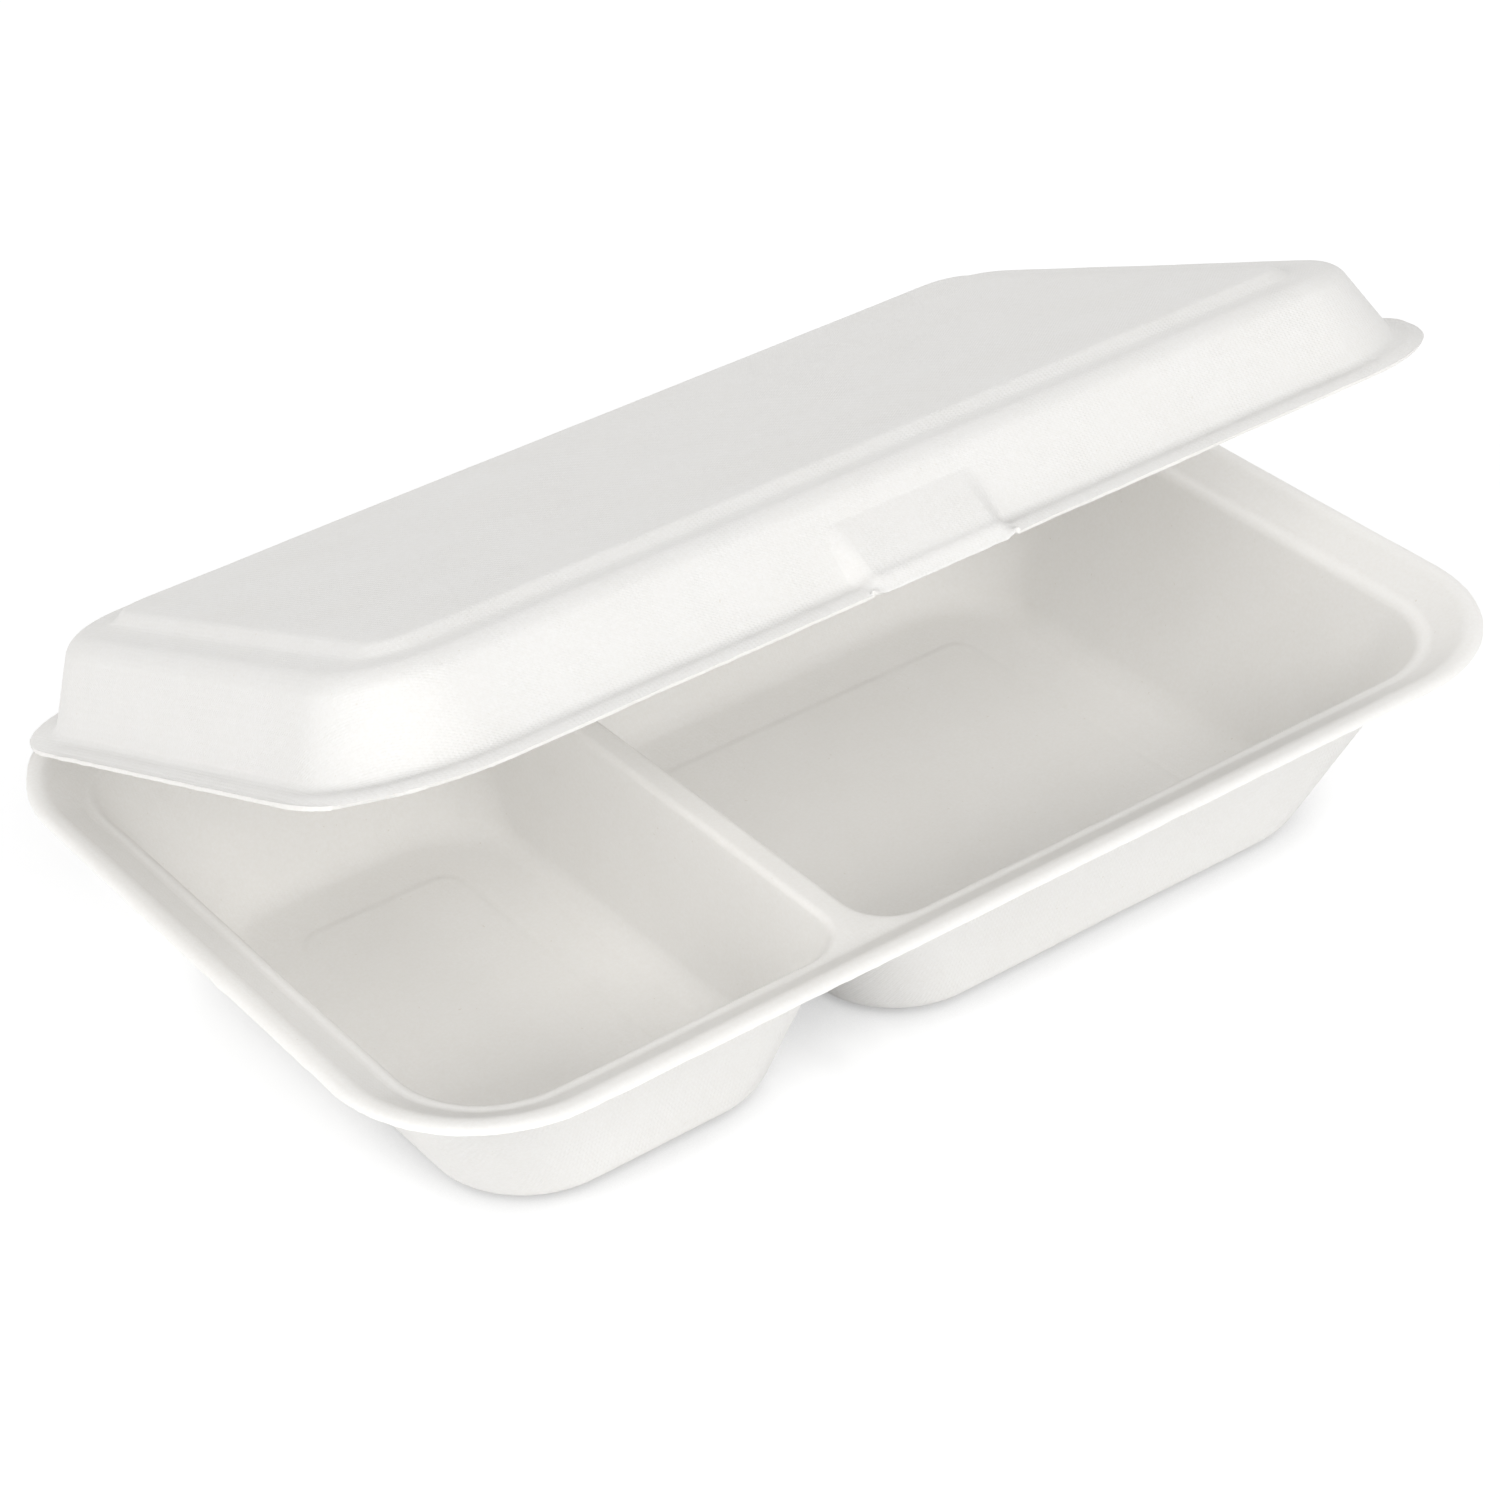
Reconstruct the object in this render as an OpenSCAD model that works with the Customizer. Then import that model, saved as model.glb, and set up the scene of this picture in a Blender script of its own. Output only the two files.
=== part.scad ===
// Hinged meal box pressed from sugarcane fibre: a tray with two compartments and a
// one-piece lid that folds about the tray's back edge. Millimetres, +Z up. The origin
// lies on the table under the middle of the tray, and the opening side faces -Y.

/* [Tray] */
// Length of the tray over its rim, left to right
tray_l = 248; // [220:1:270]
// Depth of the tray over its rim, front to back
tray_w = 162; // [150:1:180]
// Height of the rim above the table
tray_h = 42; // [34:0.5:50]
// Corner radius of the rim's trimmed edge
rim_r = 31; // [26:0.5:38]
// Thickness of the pressed sheet
wall = 0.8; // [0.6:0.05:1.1]

/* [Rim] */
// Distance from the trimmed edge to the slope, across the flange
flange_w = 3.5; // [3:0.1:4.5]
// Width of the slope that steps down from the flange
slope_w = 6.3; // [4:0.1:8]
// Width of the ledge below the slope
ledge_w = 1; // [0.6:0.1:3]
// Height of the step from the ledge up to the flange
step_h = 4; // [2:0.1:5]
// Radius of the turned-down edge, over its top
lip_r = 1.8; // [1.4:0.1:2.2]
// Angle through which the edge turns down
lip_turn = 60; // [20:5:75]

/* [Compartments] */
// Middle of the divider, left of the tray's middle
divider_x = -28.5; // [-45:0.5:-15]
// Width of the divider's flat crest
crest_w = 2.4; // [2:0.1:6]
// Slope of the outer walls from upright, in degrees
wall_draft = 21; // [14:0.5:25]
// Slope of the large compartment's end wall from upright, in degrees
end_draft = 28; // [14:0.5:32]
// Slope of the divider's wall in the small compartment, in degrees
small_draft = 3.5; // [3:0.5:14]
// Slope of the divider's wall in the large compartment, in degrees
large_draft = 14; // [5:0.5:20]
// Radius where the walls roll over at the top
brow_r = 2; // [1.5:0.1:3.5]
// Radius where the walls meet the floor
foot_r = 6; // [3:0.1:8]
// Radius of the floors' corners
floor_r = 15; // [11:0.5:17]
// Radius of the compartments' corners beside the divider, at the top
nook_r = 11; // [8:0.5:15]
// Plain strip of floor around the raised panel
panel_margin = 9.5; // [6:0.5:12]
// Height of the raised panel in each floor
panel_rise = 0.6; // [0.3:0.1:1.2]
// Corner radius of the raised floor panels
floor_panel_r = 9; // [4:0.5:12]

/* [Lid] */
// Length of the lid over its flange, left to right
lid_l = 241.5; // [215:0.5:244]
// Depth of the lid over its flange, front to back
lid_w = 156.2; // [146:0.2:158]
// Corner radius of the lid's flange
lid_r = 30; // [27:0.5:36]
// Width of the flat part of the lid's flange
lid_flange_w = 3.8; // [3:0.1:6]
// Height of the lid's shoulder above the underside of its flange
shoulder_h = 16.8; // [14:0.1:24]
// Slope of the lid's walls from upright, in degrees
lid_draft = 25; // [14:0.5:30]
// Radius where the walls leave the flange
lid_foot_r = 1.8; // [1:0.1:2.5]
// Radius of the shoulder
shoulder_r = 5; // [3:0.1:6]
// Flat strip between the shoulder and the raised top panel
top_margin = 5.5; // [3:0.1:7]
// Width of the slope up to the top panel
top_step_w = 2.4; // [1.5:0.1:3]
// Height of the top panel above the shoulder
top_step_h = 1.9; // [1:0.1:3]

/* [Front tab] */
// Width of the tab at the lid's front
tab_w = 25; // [20:1:40]
// Place of the tab's middle along the lid's front; the photograph has it left of the middle
tab_x = -4.7; // [-20:0.1:20]
// Width of the flank on each side of the tab
tab_flank_w = 4; // [3:0.5:8]
// Drop of the tab's lip below the underside of the flange
tab_drop = 0.9; // [0:0.1:1]
// Height of the fold between the lip and the bulged wall
tab_fold_h = 2.4; // [1.5:0.1:3]
// Reach of the bulge in front of the wall, just above the fold
tab_bulge = 2.2; // [1:0.1:2.6]
// Height on the front wall at which the bulge begins
tab_top_h = 11; // [10:0.5:13]

/* [Fold] */
// Angle by which the lid stands open
open_angle = 22; // [0:1:158]
// Gap between the tray's flange and the closed lid
lid_gap = 0.3; // [0.2:0.05:0.5]
// Gap between the two sheets along the fold
fold_gap = 0.6; // [0.5:0.05:0.8]

/* [Smoothness] */
// Facets in each rounded corner
corner_n = 8; // [5:1:10]
// Facets across each slope and rounding
curve_n = 5; // [4:1:7]

/* [Hidden] */
fibre = [0.93, 0.92, 0.90];

// SHARED SHAPES

// a ramp from 0 to 1 with level ends, and one with a straighter middle
function ease(s) = let (c = min(max(s, 0), 1)) c * c * (3 - 2 * c);
function ramp(s) = 0.55 * min(max(s, 0), 1) + 0.45 * ease(s);
function mix(a, b, s) = a + (b - a) * s;
function flat(a) = [for (b = a) each b];

// points of a quarter turn about a centre, counter-clockwise from angle a
function turn(c, rx, ry, a) =
    [for (i = [0 : corner_n]) let (p = a + 90 * i / corner_n) [c[0] + rx * cos(p), c[1] + ry * sin(p)]];

// closed outline of a rounded rectangle, counter-clockwise from the right end of its
// front, with stops at back_xs along the back and front_xs along the front
function outline(x0, x1, y0, y1, r, back_xs, front_xs) = concat(
    turn([x1 - r, y0 + r], r, r, -90),
    turn([x1 - r, y1 - r], r, r, 0),
    [for (i = [len(back_xs) - 1 : -1 : 0]) [back_xs[i], y1]],
    turn([x0 + r, y1 - r], r, r, 90),
    turn([x0 + r, y0 + r], r, r, 180),
    [for (x = front_xs) [x, y0]]);

// two triangles over four points given clockwise, or counter-clockwise when flipped
function quad(a, b, c, d, flip) = flip ? [[a, c, b], [a, d, c]] : [[a, b, c], [a, c, d]];

// faces between an outer loop of points and an inner one, seen from above
function band(outer, inner, flip) = let (n = len(outer))
    flat([for (i = [0 : n - 1]) let (j = (i + 1) % n)
        quad(outer[i], inner[i], inner[j], outer[j], flip)]);

function loop_ids(start, n) = [for (i = [0 : n - 1]) start + i];

function bands(start, loops, n, flip) = flat([for (k = [0 : 1 : loops - 2])
    band(loop_ids(start + k * n, n), loop_ids(start + (k + 1) * n, n), flip)]);

// the flat middle of a loop, seen from above
function cap(start, n, flip) = [[for (i = [0 : n - 1]) start + (flip ? i : n - 1 - i)]];

// Section of a pressed wall as [inset, rise] from its starting edge: it bends with
// radius r1, runs at the given draft and bends back with radius r2. off moves the
// surface through the sheet, towards the centre of the first bend.
function wall_section(draft, r1, r2, rise, off) =
    let (run = (r1 + r2) * cos(draft) + tan(draft) * (rise - (r1 + r2) * (1 - sin(draft))),
         bend = 90 - draft)
    concat(
        [for (i = [0 : curve_n]) let (a = bend * i / curve_n)
            [(r1 - off) * sin(a), r1 - (r1 - off) * cos(a)]],
        [for (i = [curve_n : -1 : 0]) let (a = bend * i / curve_n)
            [run - (r2 + off) * sin(a), rise - r2 + (r2 + off) * cos(a)]]);

// TRAY

pocket_in = flange_w + slope_w + ledge_w;
pocket_y = tray_w / 2 - pocket_in;
pocket_r = rim_r - pocket_in;
pocket_d = tray_h - step_h - wall;
ledge_z = tray_h - step_h;
small_x = [-tray_l / 2 + pocket_in, divider_x - crest_w / 2];
large_x = [divider_x + crest_w / 2, tray_l / 2 - pocket_in];
crest_xs = [small_x[1] - nook_r, large_x[0] + nook_r];

// the turned-down edge, faded out by f along the back where the sheet runs into the fold
lip_u = lip_r * sin(lip_turn);
function lip_point(a, off, f) =
    [lip_u - mix(lip_r, lip_r - off, f) * sin(a), -mix(off, lip_r - (lip_r - off) * cos(a), f)];
function lip_fade(y) = 1 - ease((y - (tray_w / 2 - rim_r)) / (rim_r * 0.7));

// rim section as [inset, height above the flange] from the trimmed edge to the ledge
function slope_point(i, off) =
    let (s = i / (curve_n + 1), tilt = i == 0 ? 0 : step_h / slope_w * (0.55 + 2.7 * s * (1 - s)))
    [flange_w + slope_w * s, -step_h * ramp(s) - off * sqrt(1 + tilt * tilt)];
function rim_section(off, f) = concat(
    [for (i = [3 : -1 : 0]) lip_point(lip_turn * i / 3, off, f)],
    [for (i = [0 : curve_n]) slope_point(i, off)],
    [[flange_w + slope_w, -step_h - off]]);
rims = len(rim_section(0, 1));

function rim_loop(k, off) =
    let (u = rim_section(off, 1)[k][0])
    [for (p = outline(-tray_l / 2 + u, tray_l / 2 - u, -tray_w / 2 + u, tray_w / 2 - u, rim_r - u, crest_xs, crest_xs))
        [p[0], p[1], tray_h + rim_section(off, lip_fade(p[1]))[k][1]]];

// one corner of a compartment between an x wall and a y wall, each given as its
// section on the food side and its section on the side being drawn
function pocket_turn(corner, sign, food, drawn, k, r) =
    let (c = [corner[0] - sign[0] * (food[0][k][0] + r), corner[1] - sign[1] * (food[1][k][0] + r)],
         rx = r + food[0][k][0] - drawn[0][k][0],
         ry = r + food[1][k][0] - drawn[1][k][0],
         a = sign[0] > 0 ? (sign[1] > 0 ? 0 : -90) : (sign[1] > 0 ? 90 : 180),
         arc = turn(c, rx, ry, a))
    [for (i = [0 : corner_n]) [arc[i][0], arc[i][1],
        ledge_z - mix(drawn[0][k][1], drawn[1][k][1], pow(sin(a + 90 * i / corner_n), 2))]];

// loops of one compartment; drafts are those of its left and right walls
function pocket_loops(x, drafts, radii, off) =
    let (fl = wall_section(drafts[0], brow_r, foot_r, pocket_d, 0),
         fr = wall_section(drafts[1], brow_r, foot_r, pocket_d, 0),
         fy = wall_section(wall_draft, brow_r, foot_r, pocket_d, 0),
         dl = wall_section(drafts[0], brow_r, foot_r, pocket_d, off),
         dr = wall_section(drafts[1], brow_r, foot_r, pocket_d, off),
         dy = wall_section(wall_draft, brow_r, foot_r, pocket_d, off),
         last = len(fy) - 1)
    concat(
        [for (k = [0 : last]) let (s = fy[k][1] / pocket_d, rl = mix(radii[0], floor_r, s), rr = mix(radii[1], floor_r, s)) concat(
            pocket_turn([x[1], -pocket_y], [1, -1], [fr, fy], [dr, dy], k, rr),
            pocket_turn([x[1], pocket_y], [1, 1], [fr, fy], [dr, dy], k, rr),
            pocket_turn([x[0], pocket_y], [-1, 1], [fl, fy], [dl, dy], k, rl),
            pocket_turn([x[0], -pocket_y], [-1, -1], [fl, fy], [dl, dy], k, rl))],
        [for (m = [[0, 0], [1.2, panel_rise]]) let (e = panel_margin + m[0], y = pocket_y - fy[last][0] - e)
            [for (p = outline(x[0] + fl[last][0] + e, x[1] - fr[last][0] - e, -y, y, floor_panel_r - m[0], [], []))
                [p[0], p[1], wall - off + m[1]]]]);

pockets = 2 * (curve_n + 1) + 2;

// points of one side of the sheet, off below its food side. The last rim loop is left
// out, because the compartments' first loops take its place.
function tray_side(off) = concat(
    flat([for (k = [0 : rims - 2]) rim_loop(k, off)]),
    flat(pocket_loops(small_x, [wall_draft, small_draft], [pocket_r, nook_r], off)),
    flat(pocket_loops(large_x, [large_draft, end_draft], [nook_r, pocket_r], off)));

module tray() {
    c = corner_n + 1;
    n_rim = 4 * c + 4;
    n_pocket = 4 * c;
    small0 = (rims - 1) * n_rim;
    large0 = small0 + pockets * n_pocket;
    count = large0 + pockets * n_pocket;
    ledge = concat(
        [for (i = [0 : 2 * c]) large0 + i],
        [for (i = [2 * c - 1 : 4 * c - 1]) small0 + i],
        [small0, large0 + 4 * c - 1]);
    // the crest between the compartments' first loops, front to back
    crest = [for (i = [0 : 2 * c - 2])
        [small0 + i, small0 + i + 1, large0 + 4 * c - 2 - i, large0 + 4 * c - 1 - i]];
    skin = concat(
        bands(0, rims - 1, n_rim, false),
        band(loop_ids((rims - 2) * n_rim, n_rim), ledge, false),
        flat([for (q = crest) quad(q[0], q[1], q[2], q[3], false)]),
        bands(small0, pockets, n_pocket, false),
        bands(large0, pockets, n_pocket, false),
        cap(small0 + (pockets - 1) * n_pocket, n_pocket, false),
        cap(large0 + (pockets - 1) * n_pocket, n_pocket, false));
    under = [for (f = skin) [for (i = [len(f) - 1 : -1 : 0]) f[i] + count]];
    color(fibre) polyhedron(
        concat(tray_side(0), tray_side(wall)),
        concat(skin, under, band(loop_ids(0, n_rim), loop_ids(count, n_rim), true)));
}

// LID, drawn closed about the fold's axis and then swung open

tab_xs = concat([for (s = [1, 0.7, 0.35, 0]) tab_x - tab_w / 2 - s * tab_flank_w], [tab_x],
    [for (s = [0, 0.35, 0.7, 1]) tab_x + tab_w / 2 + s * tab_flank_w]);
function tab_share(x) = ease((tab_w / 2 + tab_flank_w - abs(x - tab_x)) / tab_flank_w);

// lid section as [inset, height above the flange's underside] from the trimmed edge to
// the top panel; off is the distance above the underside of the sheet
wall_hs = [3, 4.7, 6.8, 9.2, 11.4];
function lid_section(off) =
    let (w = wall_section(lid_draft, lid_foot_r + wall, shoulder_r - wall, shoulder_h - wall, off),
         a = w[curve_n], b = w[curve_n + 1], end = lid_flange_w + w[len(w) - 1][0] + top_margin)
    concat(
        [[0, off], [lid_flange_w / 3, off], [lid_flange_w * 2 / 3, off]],
        [for (i = [0 : curve_n]) [lid_flange_w + w[i][0], w[i][1]]],
        [for (h = wall_hs) let (s = (h + off / 3 - a[1]) / (b[1] - a[1])) [lid_flange_w + mix(a[0], b[0], s), mix(a[1], b[1], s)]],
        [for (i = [curve_n + 1 : len(w) - 1]) [lid_flange_w + w[i][0], w[i][1]]],
        [for (i = [0 : curve_n]) let (s = i / curve_n, tilt = top_step_h / top_step_w * (i == 0 || i == curve_n ? 0 : 1))
            [end + top_step_w * s, shoulder_h - wall + top_step_h * ramp(s) + off * sqrt(1 + tilt * tilt / 2)]]);
lids = len(lid_section(0));
lows = curve_n + 4;

// Outside of the tab as [inset, height]: a lip that turns up from the edge, a fold, and
// the bulge that runs out at tab_top_h.
lip_rise = [[0, 0], [0.16, 0.3], [0.3, 0.62], [0.42, 0.82], [0.52, 0.91], [0.64, 0.95], [0.8, 0.98], [1, 1]];
function tab_point(k) = let (p = lid_section(wall)[k], q = lid_section(wall)[lows], s = k / lows)
    k < lows
    ? [(q[0] - tab_bulge) * s, mix(-tab_drop, tab_fold_h, lookup(s * 1.08, lip_rise)) + max(0, s - 0.8) * 2]
    : [p[0] - tab_bulge * max(0, 1 - (p[1] - q[1]) / (tab_top_h - q[1])), p[1]];
function tab_under(k) = let (p = tab_point(k), d = tab_point(k + 1) - tab_point(max(0, k - 1)), n = norm(d))
    [p[0] + wall * d[1] / n, p[1] - wall * d[0] / n];

function lid_loop(k, off) =
    let (p = lid_section(off)[k], q = k > lids - 3 ? p : off > 0 ? tab_point(k) : tab_under(k),
         u = p[0], y1 = -fold_gap)
    [for (v = outline(-lid_l / 2 + u, lid_l / 2 - u, y1 - lid_w + u, y1 - u, lid_r - u, [], tab_xs))
        let (s = v[1] < -lid_w / 2 && k < lows + len(wall_hs) ? tab_share(v[0]) : 0)
        [v[0], v[1] + (q[0] - u) * s, lid_gap / 2 + mix(p[1], q[1], s)]];

// the middle of the top panel, where its faces meet
function lid_middle(off) = [[0, -fold_gap - lid_w / 2, lid_gap / 2 + lid_section(off)[lids - 1][1]]];

module lid() {
    n = 4 * (corner_n + 1) + len(tab_xs);
    count = lids * n + 1;
    top = concat(bands(0, lids, n, false),
        [for (i = [0 : n - 1]) [count - 1 - n + i, count - 1, count - 1 - n + (i + 1) % n]]);
    under = [for (f = top) [for (i = [len(f) - 1 : -1 : 0]) f[i] + count]];
    color(fibre) translate([0, tray_w / 2, tray_h + lid_gap / 2]) rotate([-open_angle, 0, 0]) polyhedron(
        concat(flat([for (k = [0 : lids - 1]) lid_loop(k, wall)]), lid_middle(wall),
            flat([for (k = [0 : lids - 1]) lid_loop(k, 0)]), lid_middle(0)),
        concat(top, under, band(loop_ids(0, n), loop_ids(count, n), true)));
}

tray();
lid();
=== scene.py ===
# %% [markdown]
# # A hinged meal box pressed from sugarcane fibre
# The box is one sheet of pulp, pressed wet between two screens and dried. It has a tray with two
# compartments and a lid that folds about the tray's back edge. The frame that is loaded here is
# the plain CAD model of it, in metres, with the lid standing open. Every shell below is modelled
# over that frame, at the same sizes.

# %% Load the frame
import math

import bmesh
import bpy
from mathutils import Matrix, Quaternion, Vector, noise


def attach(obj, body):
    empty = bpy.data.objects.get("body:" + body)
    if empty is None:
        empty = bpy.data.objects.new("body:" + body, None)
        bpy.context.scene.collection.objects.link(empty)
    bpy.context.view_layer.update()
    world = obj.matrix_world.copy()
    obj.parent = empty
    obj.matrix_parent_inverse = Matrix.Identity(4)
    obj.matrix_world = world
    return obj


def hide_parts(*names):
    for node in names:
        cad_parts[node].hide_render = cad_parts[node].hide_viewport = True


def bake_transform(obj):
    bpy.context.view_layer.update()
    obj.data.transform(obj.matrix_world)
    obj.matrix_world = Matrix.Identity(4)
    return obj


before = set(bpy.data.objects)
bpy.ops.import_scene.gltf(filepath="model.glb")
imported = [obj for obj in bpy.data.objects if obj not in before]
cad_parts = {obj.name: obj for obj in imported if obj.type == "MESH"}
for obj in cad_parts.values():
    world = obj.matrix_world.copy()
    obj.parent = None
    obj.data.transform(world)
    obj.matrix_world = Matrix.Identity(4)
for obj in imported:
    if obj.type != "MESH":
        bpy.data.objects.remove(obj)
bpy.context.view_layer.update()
MM = 0.001

# %% [markdown]
# ## The camera
# The photograph looks down at the box from its front left corner, from about 0.75 m away. A long
# lens keeps the rim's sides nearly parallel. The camera is also turned a little about its own
# line of sight, so the tray's front edge climbs to the right.

# %% Camera
bpy.ops.object.camera_add(location=(-352.8 * MM, -520.8 * MM, 450.6 * MM))
camera = bpy.context.object
camera.name = "camera"
camera.data.lens = 96.8
camera.data.sensor_width = 36
turn_left = math.radians(33.84)
look_down = math.radians(33.87)
level = math.cos(look_down)
sight = Vector((math.sin(turn_left) * level, math.cos(turn_left) * level, -math.sin(look_down)))
lean = Quaternion((0, 0, 1), math.radians(-4.07))
camera.rotation_euler = (sight.to_track_quat("-Z", "Y") @ lean).to_euler()
camera.data.clip_start = 0.01
bpy.context.scene.camera = camera
print("camera looks along", sight)

# %% [markdown]
# ## Helpers for modelling by hand
# An operator acts on whatever is selected, and loading the frame leaves its nodes selected. So
# each step first selects one piece alone, and then the faces or edges that it works on, found by
# their place or by how sharply the surface turns there.

# %% Selection helpers
def pick(piece):
    bpy.ops.object.select_all(action="DESELECT")
    piece.select_set(True)
    bpy.context.view_layer.objects.active = piece


def edit(piece, kind):
    pick(piece)
    bpy.ops.object.mode_set(mode="EDIT")
    bpy.ops.mesh.select_mode(type=kind)
    bpy.ops.mesh.select_all(action="DESELECT")
    return bmesh.from_edit_mesh(piece.data)


def choose(piece, mesh, items, test):
    count = 0
    for item in items:
        if test(item):
            item.select_set(True)
            count += 1
    mesh.select_flush_mode()
    bmesh.update_edit_mesh(piece.data)
    return count


def finish_edit():
    bpy.ops.object.mode_set(mode="OBJECT")


def middle(item):
    total = Vector((0, 0, 0))
    for vertex in item.verts:
        total += vertex.co
    return total / len(item.verts) / MM


# %% [markdown]
# ## Rounded plates and pressed rings
# Both shells start as a flat plate with rounded corners, as the sheet itself does. A plane's
# corner vertices are bevelled into arcs. Each crease of the rim is then one inset, which keeps
# the corners concentric, and an inset with depth makes the slope between two creases.

# %% Plate and inset helpers
CORNER_CUTS = 20


def plate(name, x0, x1, y0, y1, z, corners):
    """A flat rounded plate. corners holds (x side, y side, radius), in millimetres."""
    bpy.ops.object.select_all(action="DESELECT")
    centre = ((x0 + x1) / 2 * MM, (y0 + y1) / 2 * MM, z * MM)
    bpy.ops.mesh.primitive_plane_add(size=1, location=centre)
    piece = bpy.context.object
    piece.name = name
    piece.scale = ((x1 - x0) * MM, (y1 - y0) * MM, 1)
    bpy.ops.object.transform_apply(location=True, rotation=False, scale=True)
    for side_x, side_y, radius in corners:
        x, y = (x1 if side_x > 0 else x0), (y1 if side_y > 0 else y0)
        mesh = edit(piece, "VERT")
        choose(piece, mesh, mesh.verts, lambda v: (v.co / MM - Vector((x, y, z))).length < 0.01)
        bpy.ops.mesh.bevel(offset=radius * MM, segments=CORNER_CUTS, affect="VERTICES", profile=0.5)
        finish_edit()
    return piece


def press_rings(piece, start, rings):
    """Insets the flat face, from one (inset, height) to the next, in millimetres."""
    mesh = edit(piece, "FACE")
    top = max(mesh.faces, key=lambda f: f.calc_area())
    choose(piece, mesh, [top], lambda f: True)
    for before, ring in zip([start] + rings, rings):
        across, up = (ring[0] - before[0]) * MM, (ring[1] - before[1]) * MM
        bpy.ops.mesh.inset(thickness=across, depth=up, use_even_offset=True)


def crease(piece, low, high, sharper, width, cuts, inside=None):
    """Rounds the edges between two heights where the surface turns by more than sharper degrees."""
    def sharp(edge):
        turns = len(edge.link_faces) == 2 and edge.calc_face_angle(0) > math.radians(sharper)
        return low < middle(edge).z < high and turns and (inside is None or inside(middle(edge)))

    mesh = edit(piece, "EDGE")
    count = choose(piece, mesh, mesh.edges, sharp)
    bpy.ops.mesh.bevel(offset=width * MM, segments=cuts, affect="EDGES", profile=0.5)
    finish_edit()
    print(piece.name, "creased", count, "edges near height", (low + high) / 2)


def cut(piece, point, normal, inside=None):
    """Cuts new edges into the piece along a plane, for more detail there."""
    mesh = edit(piece, "FACE")
    choose(piece, mesh, mesh.faces, lambda f: inside is None or inside(f))
    bpy.ops.mesh.bisect(plane_co=Vector(point) * MM, plane_no=normal)
    finish_edit()


# %% [markdown]
# ## The tray's rim
# The rim is the stiffest part of the tray: a flat flange with its trimmed edge turned down, a
# slope, and a ledge from which the compartments drop. Its insets are measured from the trimmed
# edge. The rings in the first two millimetres are there to be bent down afterwards.

# %% Tray rim
TRAY_X, TRAY_Y, TRAY_Z = 124, 81, 42
RIM_CORNER = 31
LEDGE_IN, LEDGE_Z = 12.17, 38
FLANGE_IN, SLOPE_FOOT_IN = 3.5, 9.8
BEND_WIDTH, BEND_RINGS = 1.7, (0.25, 0.6, 1.1, 1.7)
rim = plate("tray_shell", -TRAY_X, TRAY_X, -TRAY_Y, TRAY_Y, TRAY_Z,
            [(x, y, RIM_CORNER) for x in (-1, 1) for y in (-1, 1)])
press_rings(rim, (0, TRAY_Z), [(inset, TRAY_Z) for inset in BEND_RINGS + (2.6, FLANGE_IN)]
            + [(SLOPE_FOOT_IN, LEDGE_Z), (LEDGE_IN, LEDGE_Z)])
bpy.ops.mesh.delete(type="FACE")
finish_edit()
print("rim has", len(rim.data.polygons), "faces")

# %% [markdown]
# ## The compartments
# Each compartment starts as a rounded plate at the ledge's height. Extruding it down gives the
# walls, and then each rounded corner of the floor is moved inwards and turned to its own radius,
# which slopes the walls. The divider's walls are steeper than the outer ones, and the end wall of
# the large compartment is the flattest.

# %% Compartments
FLOOR_Z = 0.8


def compartment(name, x0, x1, corners, floor_x0, floor_x1, floor_y, floor_corner):
    edge_y = TRAY_Y - LEDGE_IN
    piece = plate(name, x0, x1, -edge_y, edge_y, LEDGE_Z, corners)
    mesh = edit(piece, "FACE")
    choose(piece, mesh, mesh.faces, lambda f: True)
    bpy.ops.mesh.extrude_region_move(TRANSFORM_OT_translate={"value": (0, 0, (FLOOR_Z - LEDGE_Z) * MM)})
    finish_edit()
    centre_x = (x0 + x1) / 2
    for side_x, side_y, radius in corners:
        end, floor_end = (x1, floor_x1) if side_x > 0 else (x0, floor_x0)
        old = Vector((end - side_x * radius, side_y * (edge_y - radius), FLOOR_Z)) * MM
        new = Vector((floor_end - side_x * floor_corner, side_y * (floor_y - floor_corner), FLOOR_Z)) * MM
        mesh = edit(piece, "VERT")
        choose(piece, mesh, mesh.verts, lambda v: v.co.z < (FLOOR_Z + 1) * MM
               and (v.co.x / MM - centre_x) * side_x > 0 and v.co.y * side_y > 0)
        size = floor_corner / radius
        bpy.ops.transform.resize(value=(size, size, 1), center_override=old)
        bpy.ops.transform.translate(value=new - old)
        finish_edit()
    return piece


OUTER = RIM_CORNER - LEDGE_IN
NOOK = 9.5
FLOOR_Y, FLOOR_CORNER = 54.55, 19
SMALL = (-TRAY_X + LEDGE_IN, -31.5)
LARGE = (-25.8, TRAY_X - LEDGE_IN)
SMALL_FLOOR = (-97.55, -33.8)
LARGE_FLOOR = (-16.5, 92.0)
small_corners = [(-1, -1, OUTER), (-1, 1, OUTER), (1, -1, NOOK), (1, 1, NOOK)]
large_corners = [(1, -1, OUTER), (1, 1, OUTER), (-1, -1, NOOK), (-1, 1, NOOK)]
small = compartment("small_compartment", *SMALL, small_corners, *SMALL_FLOOR, FLOOR_Y, FLOOR_CORNER)
large = compartment("large_compartment", *LARGE, large_corners, *LARGE_FLOOR, FLOOR_Y, FLOOR_CORNER)
print("compartments", len(small.data.polygons), len(large.data.polygons))

# %% [markdown]
# ## Joining the tray
# The rim gets two cuts where the divider's crest flares into the ledge. Then the three pieces are
# joined, their shared corners merge, and the crest itself is bridged between the compartments.
# The bridge's thin faces are dissolved into one, because their edges would run almost along the
# crease that is bevelled next.

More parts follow.
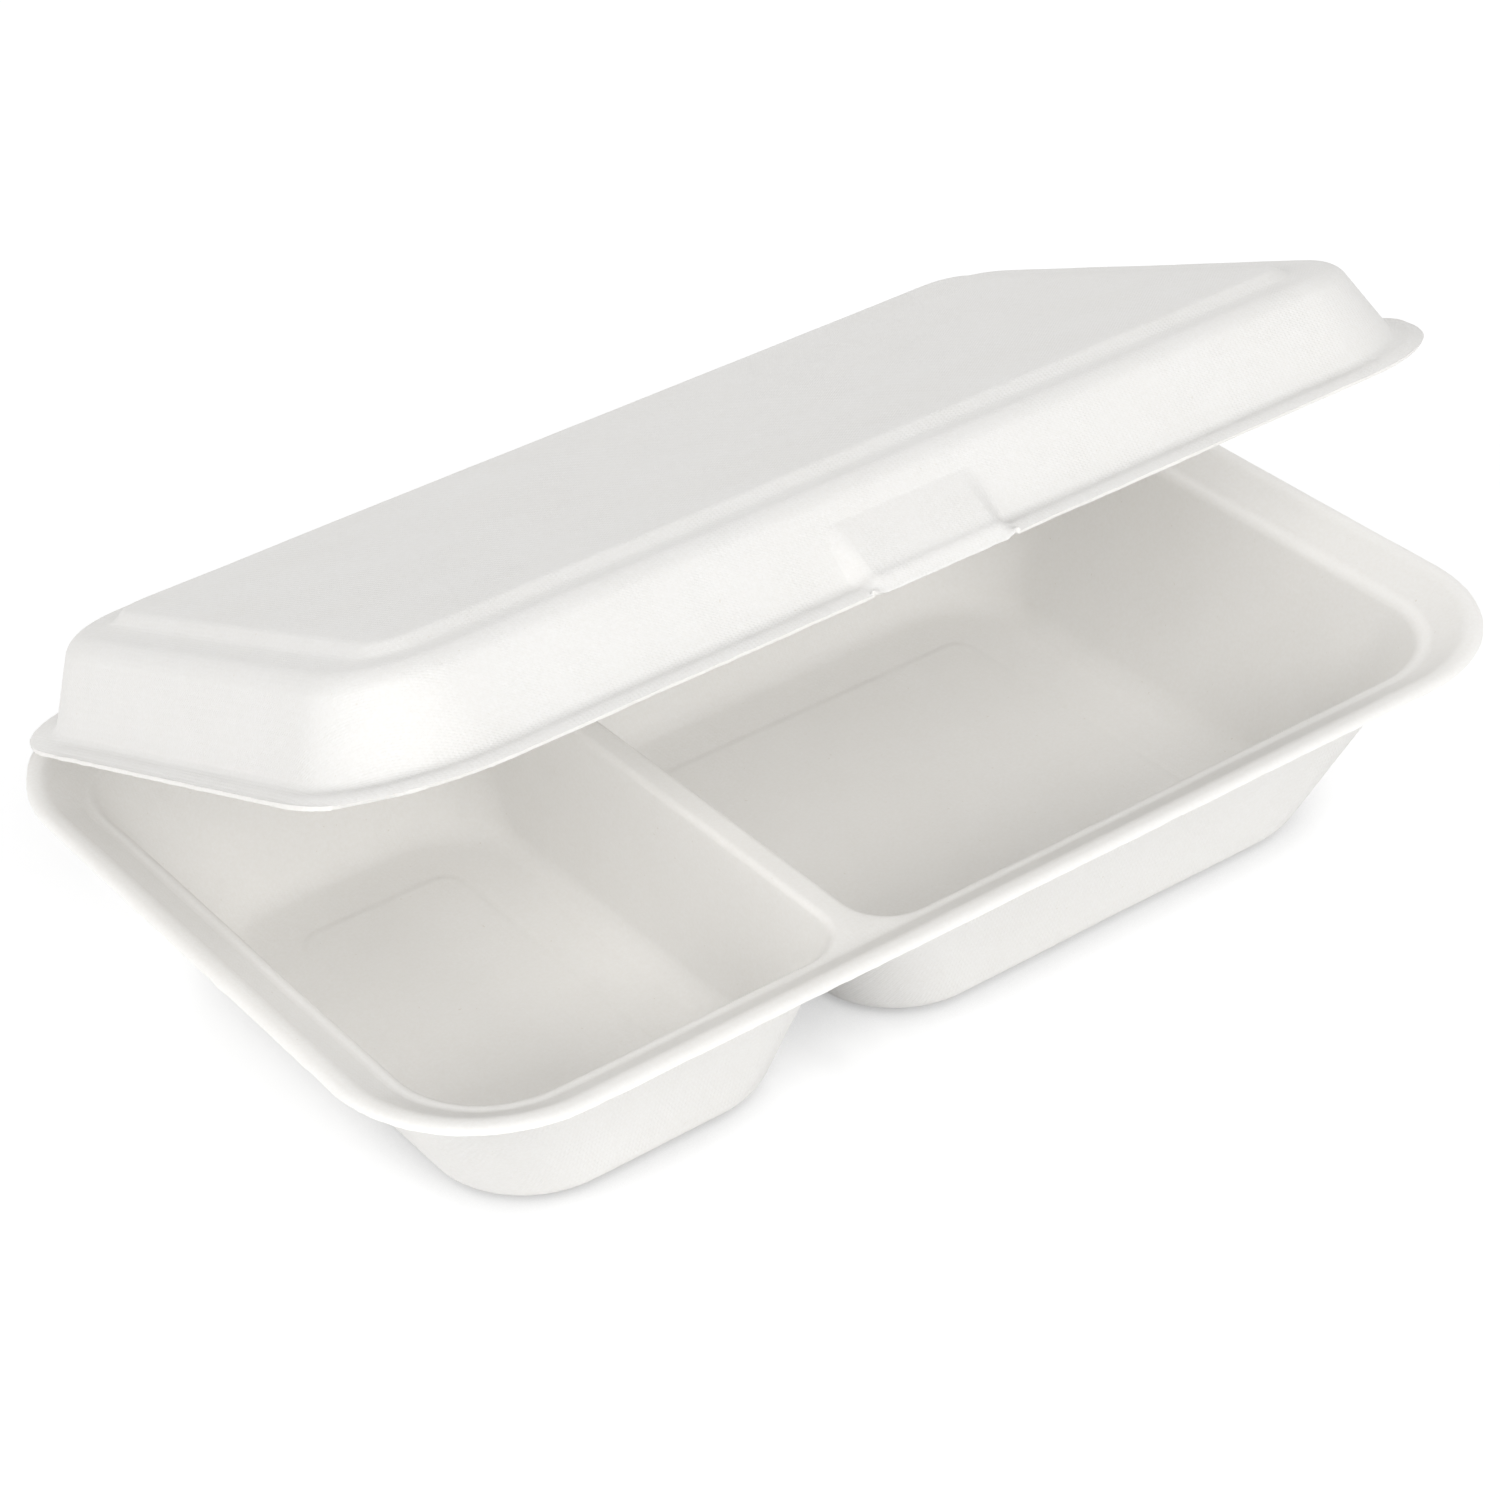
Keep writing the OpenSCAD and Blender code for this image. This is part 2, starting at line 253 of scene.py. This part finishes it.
# %% Join the tray
for x in (SMALL[1] - NOOK, LARGE[0] + NOOK):
    cut(rim, (x, 0, 0), (1, 0, 0))
for piece in (small, large):
    mesh = edit(piece, "FACE")
    choose(piece, mesh, mesh.faces, lambda f: abs(f.normal.z) > 0.9 and middle(f).z > 30)
    bpy.ops.mesh.delete(type="ONLY_FACE")
    finish_edit()
pick(rim)
small.select_set(True)
large.select_set(True)
bpy.ops.object.join()
tray = rim
mesh = edit(tray, "VERT")
choose(tray, mesh, mesh.verts, lambda v: abs(v.co.z / MM - LEDGE_Z) < 0.1)
bpy.ops.mesh.remove_doubles(threshold=0.3 * MM)
finish_edit()
mesh = edit(tray, "EDGE")
choose(tray, mesh, mesh.edges, lambda e: e.is_boundary and abs(middle(e).x) < 60
       and abs(middle(e).y) < TRAY_Y - LEDGE_IN - 0.01)
bpy.ops.mesh.bridge_edge_loops()
bpy.ops.mesh.select_all(action="SELECT")
bpy.ops.mesh.normals_make_consistent(inside=False)
finish_edit()
floor = max(tray.data.polygons, key=lambda f: f.area)
if floor.normal.z < 0:
    edit(tray, "FACE")
    bpy.ops.mesh.select_all(action="SELECT")
    bpy.ops.mesh.flip_normals()
    finish_edit()
mesh = edit(tray, "FACE")
crest_x = (SMALL[1] + LARGE[0]) / 2
choose(tray, mesh, mesh.faces, lambda f: abs(middle(f).x - crest_x) < 12
       and all(abs(v.co.z / MM - LEDGE_Z) < 0.05 for v in f.verts))
bpy.ops.mesh.dissolve_faces()
finish_edit()
mesh = edit(tray, "EDGE")
print("tray", len(mesh.verts), "points, open edges", sum(e.is_boundary for e in mesh.edges))
finish_edit()

# %% [markdown]
# ## Rounding the tray's creases
# Pressed pulp has no sharp crease: it would tear there. So each crease becomes a bevel with
# several segments, narrow where the walls roll over from the ledge, and wide at the floor.

# %% Round the creases
def inset_at(x, y, half_x, half_y, corner):
    """How far a point lies inside a rounded rectangle, in millimetres."""
    over_x, over_y = abs(x) - (half_x - corner), abs(y) - (half_y - corner)
    if over_x > 0 and over_y > 0:
        return corner - math.hypot(over_x, over_y)
    return min(half_x - abs(x), half_y - abs(y))


def on_the_rim(spot):
    return inset_at(spot.x, spot.y, TRAY_X, TRAY_Y, RIM_CORNER) < LEDGE_IN - 1.5


crease(tray, LEDGE_Z - 0.1, LEDGE_Z + 0.1, 20, 0.75, 3, on_the_rim)
crease(tray, FLOOR_Z - 0.1, FLOOR_Z + 0.1, 40, 4.1, 7)
crease(tray, LEDGE_Z - 0.1, LEDGE_Z + 0.1, 45, 1.3, 5, lambda spot: not on_the_rim(spot))
crease(tray, TRAY_Z - 0.1, TRAY_Z + 0.1, 20, 0.9, 4)

# %% [markdown]
# ## The floors' raised panels
# Each floor carries a faint raised panel, which keeps the base stiff. It is one inset for the
# plain strip around it, and then narrow ones with a little depth for its soft step.

# %% Floor panels
PLAIN_STRIP = (8.9, 0)
SOFT_STEP = ((0.7, 0.04), (0.6, 0.12), (0.6, 0.16), (0.6, 0.12), (0.7, 0.04))
for side in (-1, 1):
    mesh = edit(tray, "FACE")
    choose(tray, mesh, mesh.faces, lambda f: middle(f).z < FLOOR_Z + 0.05 and f.calc_area() > 1e-3
           and (middle(f).x - crest_x) * side > 0)
    for across, up in (PLAIN_STRIP,) + SOFT_STEP:
        bpy.ops.mesh.inset(thickness=across * MM, depth=up * MM, use_even_offset=True)
    finish_edit()
print("tray faces", len(tray.data.polygons))

# %% [markdown]
# ## The turned-down edge
# The press trims the sheet and bends its edge down by about a millimetre. That is a small move
# of the outer rings, stronger towards the edge. It fades out along the back, where the sheet
# goes on into the fold instead of ending.

# %% Cuts for bending
def ease(share):
    """0 below 0, 1 above 1, and a smooth step between."""
    share = min(max(share, 0), 1)
    return share * share * (3 - 2 * share)


def cut_grid(piece, xs, ys, zs):
    """Cuts edges all across the piece, so that it can bend a little everywhere."""
    edit(piece, "FACE")
    cuts = [((x, 0, 0), (1, 0, 0)) for x in xs]
    cuts += [((0, y, 0), (0, 1, 0)) for y in ys]
    cuts += [((0, 0, z), (0, 0, 1)) for z in zs]
    for point, normal in cuts:
        bpy.ops.mesh.select_all(action="SELECT")
        bpy.ops.mesh.bisect(plane_co=Vector(point) * MM, plane_no=normal)
    bpy.ops.mesh.select_all(action="SELECT")
    bpy.ops.mesh.remove_doubles(threshold=0.03 * MM)
    finish_edit()
    print(piece.name, "now has", len(piece.data.polygons), "faces")


GRID = 6
cut_grid(tray, range(-120, 121, GRID), range(-75, 76, GRID), (10, 15, 20, 25, 30))

# %% Bend the trimmed edge
EDGE_DROP = 0.95
for vertex in tray.data.vertices:
    x, y, z = vertex.co / MM
    inset = inset_at(x, y, TRAY_X, TRAY_Y, RIM_CORNER)
    if inset < BEND_WIDTH and z > TRAY_Z - 0.1:
        fade = 1 - ease((y - (TRAY_Y - RIM_CORNER)) / (RIM_CORNER * 0.7))
        vertex.co.z -= EDGE_DROP * (1 - inset / BEND_WIDTH) ** 2 * fade * MM

# %% [markdown]
# ## Fibre edges and an uneven sheet
# A pulp sheet is never quite flat, and its trimmed edge is frayed. The edge is cut into steps
# under a millimetre long that move in and out by about a tenth of one, and the whole sheet
# swells and dips a little. The noise has fixed coordinates, so that each run gives the same box.

# %% Fray and unevenness
def fray(piece, depth):
    mesh = edit(piece, "EDGE")
    choose(piece, mesh, mesh.edges, lambda e: e.is_boundary and e.calc_length() > 0.9 * MM)
    bpy.ops.mesh.subdivide(number_cuts=7)
    finish_edit()
    mesh = edit(piece, "VERT")
    middle_of = sum((v.co for v in mesh.verts), Vector()) / len(mesh.verts)
    for vertex in mesh.verts:
        if vertex.is_boundary:
            away = (vertex.co - middle_of) * Vector((1, 1, 0))
            push = noise.noise(vertex.co * 230) * 0.9 + noise.noise(vertex.co * 1100) * 0.5
            vertex.co += away.normalized() * (push - 0.5) * depth * MM
            vertex.co.z += noise.noise(vertex.co * 300 + Vector((5, 2, 9))) * depth * 0.8 * MM
    bmesh.update_edit_mesh(piece.data)
    finish_edit()


def swell(piece, height):
    normals = [vertex.normal.copy() for vertex in piece.data.vertices]
    for vertex, normal in zip(piece.data.vertices, normals):
        wide = noise.noise(vertex.co * 28) * 0.7 + noise.noise(vertex.co * 75 + Vector((3, 7, 1))) * 0.3
        vertex.co += normal * wide * height * MM


def give_thickness(piece, thickness):
    """Thickens the sheet away from its modelled face, and smooths its shading by angle."""
    pick(piece)
    sheet = piece.modifiers.new("sheet", "SOLIDIFY")
    sheet.thickness = thickness * MM
    sheet.offset = -1
    sheet.use_quality_normals = True
    sheet.material_offset = 1
    sheet.material_offset_rim = 2
    bpy.ops.object.modifier_apply(modifier="sheet")
    bpy.ops.object.shade_smooth_by_angle(angle=math.radians(40))
    print(piece.name, "has", len(piece.data.polygons), "faces with its thickness")


SHEET = 0.8
UNEVEN = 0.16
swell(tray, UNEVEN)
fray(tray, UNEVEN)

# %% [markdown]
# ## The lid
# The lid is modelled closed, above the tray, and turned open afterwards. Every crease of it runs
# parallel to its flange, so one plate and a chain of insets make all of it: the flange, the
# sloping wall, the shoulder, the flat margin and the step up to the top panel.

# %% Lid shell
LID_X, LID_FRONT, LID_BACK = 120.75, -75.8, 80.4
LID_CORNER = 30
FLANGE_Z = 42.3
lid = plate("lid_shell", -LID_X, LID_X, LID_FRONT, LID_BACK, FLANGE_Z + SHEET,
            [(x, y, LID_CORNER) for x in (-1, 1) for y in (-1, 1)])
flange_top = FLANGE_Z + SHEET
shoulder_z, panel_z = FLANGE_Z + 16.8, FLANGE_Z + 18.7
press_rings(lid, (0, flange_top), [(inset, flange_top) for inset in (0.3, 0.7, 1.2, 1.8, 2.4, 3.0, 4.95)]
            + [(12.41, shoulder_z), (21.09, shoulder_z), (23.49, panel_z)])
finish_edit()
crease(lid, flange_top - 0.1, flange_top + 0.1, 40, 1.15, 5)
crease(lid, shoulder_z - 0.1, shoulder_z + 0.1, 40, 3.19, 8)
crease(lid, shoulder_z - 0.1, shoulder_z + 0.1, 20, 0.8, 3)
crease(lid, panel_z - 0.1, panel_z + 0.1, 20, 0.8, 3)
cut_grid(lid, range(-117, 118, GRID), range(-72, 79, GRID), [FLANGE_Z + z for z in (5, 8, 11)])

# %% [markdown]
# ## The finger tab
# Near the middle of the lid's front the wall bulges out, folds, and ends in a short lip that
# turns down over the tray's slope. It is a local form in one sheet, which insets can't give, so
# the front gets fine cuts there and its points are moved along a given curve.

# %% Finger tab
TAB_X, TAB_HALF, TAB_FLANK, TAB_TOP = -4.7, 12.5, 4, 11
TAB_BULGE = 2.2
WALL_IN, WALL_UP = 6.67, 4.5
LIP = [(0, -0.9), (0.12, 0.1), (0.23, 1.15), (0.33, 1.8), (0.42, 2.05), (0.52, 2.25),
       (0.62, 2.5), (0.72, 2.9), (0.82, 3.42), (0.91, 3.95), (1, WALL_UP)]


def near_tab(face):
    spot = middle(face)
    return abs(spot.x - TAB_X) < 21 and spot.y < LID_FRONT + 13


for side in (-1, 1):
    for step in range(11):
        cut(lid, (TAB_X + side * (TAB_HALF - 0.4 + step * 0.46), 0, 0), (1, 0, 0), near_tab)
for step in range(18):
    cut(lid, (0, 0, FLANGE_Z + 1.6 + step * 0.65), (0, 0, 1), near_tab)


def along(curve, share):
    for (x0, y0), (x1, y1) in zip(curve, curve[1:]):
        if share <= x1:
            return y0 + (y1 - y0) * (share - x0) / (x1 - x0)
    return curve[-1][1]


moved = 0
for vertex in lid.data.vertices:
    x, y, z = vertex.co / MM
    inset, height = y - LID_FRONT, z - FLANGE_Z
    share = ease((TAB_HALF + TAB_FLANK - abs(x - TAB_X)) / TAB_FLANK)
    if share > 0 and inset < 14 and height < TAB_TOP:
        low = (inset + height - SHEET) / (WALL_IN + WALL_UP - SHEET)
        if low < 1:
            target = ((WALL_IN - TAB_BULGE) * low, along(LIP, low))
        else:
            target = (inset - TAB_BULGE * (1 - (height - WALL_UP) / (TAB_TOP - WALL_UP)), height)
        vertex.co.y = (LID_FRONT + inset + (target[0] - inset) * share) * MM
        vertex.co.z = (FLANGE_Z + height + (target[1] - height) * share) * MM
        moved += 1
print("tab points moved", moved)

# %% [markdown]
# ## The lid's edge
# The lid's flange turns down too where the tray's slope leaves room below it, which is along the
# front and round the front corners. At the sides it lies on the tray's flange and stays flat.
# The tab has its own lip, so it is left out.

# %% Turn the lid's edge down
DROOP, DROOP_WIDTH = 1.1, 2.6
GAP = 0.15
SLOPE = (TRAY_Z - LEDGE_Z) / (SLOPE_FOOT_IN - FLANGE_IN)
middle_y, half_y = (LID_FRONT + LID_BACK) / 2, (LID_BACK - LID_FRONT) / 2
for vertex in lid.data.vertices:
    x, y, z = vertex.co / MM
    inset = inset_at(x, y - middle_y, LID_X, half_y, LID_CORNER)
    if inset < DROOP_WIDTH and z > flange_top - 0.3:
        room = GAP + SLOPE * max(0, inset_at(x, y, TRAY_X, TRAY_Y, RIM_CORNER) - FLANGE_IN)
        off_tab = 1 - ease((TAB_HALF + TAB_FLANK - abs(x - TAB_X)) / TAB_FLANK)
        off_fold = 1 - ease((y - 40) / 30)
        turn = (1 - max(inset, 0) / DROOP_WIDTH) ** 1.7
        vertex.co.z -= min(DROOP, room) * turn * off_tab * off_fold * MM
swell(lid, UNEVEN)
fray(lid, 0.1)

# %% [markdown]
# ## Opening the lid
# The fold's axis lies in the gap between the two flanges, at the back. In the photograph the lid
# stands 22 degrees open.

# %% Open the lid
FOLD_Y, FOLD_Z = 81, 42.15
FOLD = Vector((0, FOLD_Y, FOLD_Z)) * MM
OPEN = 22
edit(lid, "VERT")
bpy.ops.mesh.select_all(action="SELECT")
bpy.ops.transform.rotate(value=math.radians(OPEN), orient_axis="X", orient_type="GLOBAL",
                         center_override=FOLD)
finish_edit()
print("lid's highest point", max(v.co.z for v in lid.data.vertices) / MM)

# %% [markdown]
# ## The fold
# The tray and the lid are one sheet, so a web of creased fibre joins them along the straight part
# of the back. Its section is half a ring around the fold's axis. A thin strip inside the tray's
# sheet is spun round that axis as far as the lid's sheet, and then drawn on into it.

# %% Fold web
FOLD_HALF, WEB_THICK = 89.5, 0.74
INTO_TRAY, INTO_LID = 0.5, 1.1
strip = (0, (FOLD_Y - INTO_TRAY) * MM, (FOLD_Z - 0.55) * MM)
bpy.ops.object.select_all(action="DESELECT")
bpy.ops.mesh.primitive_plane_add(size=1, location=strip, rotation=(math.radians(90), 0, 0))
web = bpy.context.object
web.name = "fold_web"
web.scale = (2 * FOLD_HALF * MM, WEB_THICK * MM, 1)
bpy.ops.object.transform_apply(location=True, rotation=True, scale=True)
edit(web, "FACE")
bpy.ops.mesh.select_all(action="SELECT")
bpy.ops.mesh.extrude_region_move(TRANSFORM_OT_translate={"value": (0, INTO_TRAY * MM, 0)})
bpy.ops.mesh.spin(steps=12, angle=math.radians(180 - OPEN), center=FOLD, axis=(1, 0, 0))
lid_way = Vector((0, -math.cos(math.radians(OPEN)), math.sin(math.radians(OPEN))))
bpy.ops.mesh.extrude_region_move(TRANSFORM_OT_translate={"value": lid_way * INTO_LID * MM})
bpy.ops.mesh.select_all(action="SELECT")
bpy.ops.mesh.normals_make_consistent(inside=False)
finish_edit()
cut_grid(web, range(-88, 89, 4), (), ())
for vertex in web.data.vertices:
    taper = ease((FOLD_HALF + 1 - abs(vertex.co.x / MM)) / 6)
    away = (vertex.co - FOLD) * Vector((0, 1, 1))
    vertex.co -= away * (1 - taper) * 0.35
    vertex.co += Vector((0, 1, 0)) * noise.noise(vertex.co * 160) * 0.1 * MM
pick(web)
bpy.ops.object.shade_smooth_by_angle(angle=math.radians(40))
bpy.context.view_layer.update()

# %% [markdown]
# ## Shader arithmetic
# The finishes below are patterns built from coordinates. Writing them as sums and products of
# sockets keeps them readable, so one small class turns Python's operators into Math nodes. One
# function adds every other node: its settings first, and then the values or links of its sockets.

# %% Shader arithmetic
def add_node(tree, kind, settings, sockets):
    node = tree.nodes.new(kind)
    for name, setting in settings.items():
        setattr(node, name, setting)
    for name, value in sockets.items():
        if isinstance(value, Signal):
            tree.links.new(value.socket, node.inputs[name])
        else:
            node.inputs[name].default_value = value
    return node


class Signal:
    """A shader value. Arithmetic on it adds Math nodes."""

    def __init__(self, tree, socket):
        self.tree, self.socket = tree, socket

    def put(self, kind, *others):
        sockets = dict(enumerate((self,) + others))
        maths = add_node(self.tree, "ShaderNodeMath", {"operation": kind}, sockets)
        return Signal(self.tree, maths.outputs[0])

    def __add__(self, other): return self.put("ADD", other)
    def __mul__(self, other): return self.put("MULTIPLY", other)
    __radd__, __rmul__ = __add__, __mul__

    def sine(self): return self.put("SINE")

    def ramp(self, low, high):
        """0 below low, 1 above high, and a smooth step between."""
        sockets = {"Value": self, "From Min": low, "From Max": high}
        step = add_node(self.tree, "ShaderNodeMapRange", {"interpolation_type": "SMOOTHSTEP"}, sockets)
        return Signal(self.tree, step.outputs["Result"])


def cloud(place, scale, detail, rough=0.5):
    sockets = {"Vector": place, "Scale": scale, "Detail": detail, "Roughness": rough}
    return Signal(place.tree, add_node(place.tree, "ShaderNodeTexNoise", {}, sockets).outputs[0])


def mix_colours(factor, first, second):
    sockets = {"Factor": factor, "A": first, "B": second}
    mix = add_node(factor.tree, "ShaderNodeMix", {"data_type": "RGBA"}, sockets)
    return Signal(factor.tree, mix.outputs["Result"])


# %% [markdown]
# ## Sugarcane fibre
# The pulp is a warm white, with a fine grain of thicker and thinner fibre and a few tan specks
# of cane. The side that lay on the forming screen keeps its weave, a little under a millimetre
# apart, and is duller. The food side was pressed smooth. Their tones are also partly painted
# light: the food side, on the inner faces, is paler and the screen side, on the outer faces,
# darker than the fibre's own difference, so that the shaded inside looks as bright as the lit
# outside. The weave follows the shell's own axes, so on the lid a Mapping node turns the
# coordinates back by the angle at which it stands open.

# %% Fibre finishes
SCREEN_PITCH = 0.8
CANE = (0.6, 0.53, 0.42, 1)


def fibre(name, turned, weave, grain, tone):
    finish = bpy.data.materials.new(name)
    finish.use_nodes = True
    tree = finish.node_tree
    shader = tree.nodes["Principled BSDF"]
    place = Signal(tree, add_node(tree, "ShaderNodeTexCoord", {}, {}).outputs["Object"])
    turn_back = (math.radians(turned), 0, 0)
    turn = add_node(tree, "ShaderNodeMapping", {}, {"Vector": place, "Rotation": turn_back})
    here = Signal(tree, turn.outputs["Vector"])
    split = add_node(tree, "ShaderNodeSeparateXYZ", {}, {"Vector": here})
    x, y, z = (Signal(tree, split.outputs[axis]) for axis in "XYZ")

    pitch = 2 * math.pi / (SCREEN_PITCH * MM)
    drift = cloud(here, 90, 2) * 1.6
    threads = (x * pitch + drift).sine() * ((y + z) * pitch + drift).sine() + (x * pitch).sine() * 0.6
    patches = cloud(here, 120, 3).ramp(0.3, 0.7) * 0.7 + 0.3
    hairs = cloud(here, 700, 6, 0.65)
    lumps = cloud(here, 220, 4)
    height = threads * patches * weave + hairs * grain + lumps * (grain * 1.2)
    bump = add_node(tree, "ShaderNodeBump", {}, {"Strength": 1, "Distance": MM, "Height": height})
    tree.links.new(bump.outputs["Normal"], shader.inputs["Normal"])

    drifts = cloud(here, 45, 5, 0.6).ramp(0.3, 0.75) * 0.35
    thicker = drifts + cloud(here, 1500, 3, 0.6).ramp(0.3, 0.7) * 0.65
    pale = (tone[0], tone[1], tone[2], 1)
    dull = (tone[0] * 0.965, tone[1] * 0.958, tone[2] * 0.945, 1)
    specks = cloud(here, 1100, 2, 0.4).ramp(0.74, 0.82) * 0.3
    colour = mix_colours(specks, mix_colours(thicker, pale, dull), CANE)
    tree.links.new(colour.socket, shader.inputs["Base Color"])
    tree.links.new((hairs * 0.15 + 0.68).socket, shader.inputs["Roughness"])
    shader.inputs["Specular IOR Level"].default_value = 0.3
    return finish


# Painted light: the food side's tone is lifted and the screen side's dimmed beyond the fibre's own
# difference, so that the shaded inside looks as bright as the lit outside.
FOOD_SIDE_TONE_WITH_PAINTED_LIGHT = (0.935, 0.926, 0.908)
SCREEN_SIDE_TONE_WITH_PAINTED_SHADE = (0.84, 0.833, 0.819)
EDGE = (0.87, 0.858, 0.835)


def dress(piece, body, turned, weave):
    """Gives a shell its three finishes: the modelled face, the face behind it and the edge."""
    food = fibre(body + "_food_side", turned, 0.004, 0.05, FOOD_SIDE_TONE_WITH_PAINTED_LIGHT)
    screen = fibre(body + "_screen_side", turned, weave, 0.07, SCREEN_SIDE_TONE_WITH_PAINTED_SHADE)
    edge = fibre(body + "_trimmed_edge", turned, 0, 0.22, EDGE)
    for finish in (screen, food, edge) if piece is lid else (food, screen, edge):
        piece.data.materials.append(finish)


dress(tray, "tray", 0, 0.02)
dress(lid, "lid", OPEN, 0.024)
web.data.materials.append(fibre("fold_screen_side", 0, 0, 0.07, SCREEN_SIDE_TONE_WITH_PAINTED_SHADE))
give_thickness(tray, SHEET)
give_thickness(lid, SHEET)
for vertex in tray.data.vertices:
    vertex.co.z = max(vertex.co.z, 0.01 * MM)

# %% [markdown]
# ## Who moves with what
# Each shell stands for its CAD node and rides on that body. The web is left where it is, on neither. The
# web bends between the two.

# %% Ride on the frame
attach(tray, "tray")
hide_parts("tray")
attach(lid, "lid")
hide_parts("lid")
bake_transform(web)

# %% [markdown]
# ## Floor, background and light
# A white table in soft light, as for a catalogue. What the camera sees of the table is mostly
# its own white, which an Ambient Occlusion node takes back where the box stands close above it.
# That leaves the narrow soft shadow of the photograph. For the box itself the table is plain
# pale paper.

# %% Floor
bpy.ops.object.select_all(action="DESELECT")
bpy.ops.mesh.primitive_plane_add(size=8, location=(0, 0, 0))
table = bpy.context.object
table.name = "table"


def seen_by_eye(tree):
    path = add_node(tree, "ShaderNodeLightPath", {}, {})
    names = "Is Camera Ray", "Is Glossy Ray", "Is Transmission Ray"
    camera_ray, glossy, clear = (Signal(tree, path.outputs[name]) for name in names)
    return camera_ray.put("MAXIMUM", glossy).put("MAXIMUM", clear)


paper = bpy.data.materials.new("white_table")
paper.use_nodes = True
tree = paper.node_tree
tree.nodes.clear()
seen = seen_by_eye(tree)
near = add_node(tree, "ShaderNodeAmbientOcclusion", {"samples": 8}, {"Distance": 22 * MM})
# Painted shadow: the glow that the camera sees of the table is dimmed by ambient occlusion where the box
# stands close above it; the lamps' cast shadows fall only on its diffuse part.
white = seen * Signal(tree, near.outputs["AO"]).ramp(0.05, 0.65) * 0.37
matt = add_node(tree, "ShaderNodeBsdfDiffuse", {}, {"Color": seen * -0.48 + 0.9})
glow = add_node(tree, "ShaderNodeEmission", {}, {"Strength": seen * 0.3 + white})
matt, glow = Signal(tree, matt.outputs[0]), Signal(tree, glow.outputs[0])
both = add_node(tree, "ShaderNodeAddShader", {}, {0: matt, 1: glow})
add_node(tree, "ShaderNodeOutputMaterial", {}, {"Surface": Signal(tree, both.outputs[0])})
table.data.materials.append(paper)

# %% [markdown]
# ## Light
# The tray's inside is as bright as its outside in the photograph, so two lights at the front, one
# of them low, shine in under the lid. A third stands at the left, not far above the rim, and a
# weaker one behind on the right lights the lid's top. The world fills in from all sides.

# %% Light
world = bpy.data.worlds.new("studio")
bpy.context.scene.world = world
world.use_nodes = True
tree = world.node_tree
sky = tree.nodes["Background"]
AMBIENT = 0.33
strength = seen_by_eye(tree) * (1 - AMBIENT) + AMBIENT
tree.links.new(strength.socket, sky.inputs["Strength"])
sky.inputs["Color"].default_value = (1, 1, 1, 1)


def lamp(name, around, above, power):
    """A soft box one metre wide, 1.6 m away. around is 0 at the front and grows to the right."""
    side, up = math.radians(around), math.radians(above)
    aim = Vector((0, 0, 40 * MM))
    spot = aim + Vector((math.sin(side) * math.cos(up), -math.cos(side) * math.cos(up), math.sin(up))) * 1.6
    bpy.ops.object.light_add(type="AREA", location=spot)
    light = bpy.context.object
    light.name = name
    light.data.size = 1
    light.data.energy = power
    light.rotation_euler = (aim - spot).to_track_quat("-Z", "Y").to_euler()


# The inside's brightness comes from these lamps together with the painted light in the food side's paler
# tone.
lamp("softbox_front", -12, 40, 12.4)
lamp("softbox_low_front", 8, 18, 6.3)
lamp("softbox_left", -100, 18, 11)
lamp("softbox_behind", 150, 30, 8.8)
bpy.context.scene.view_settings.view_transform = "Standard"
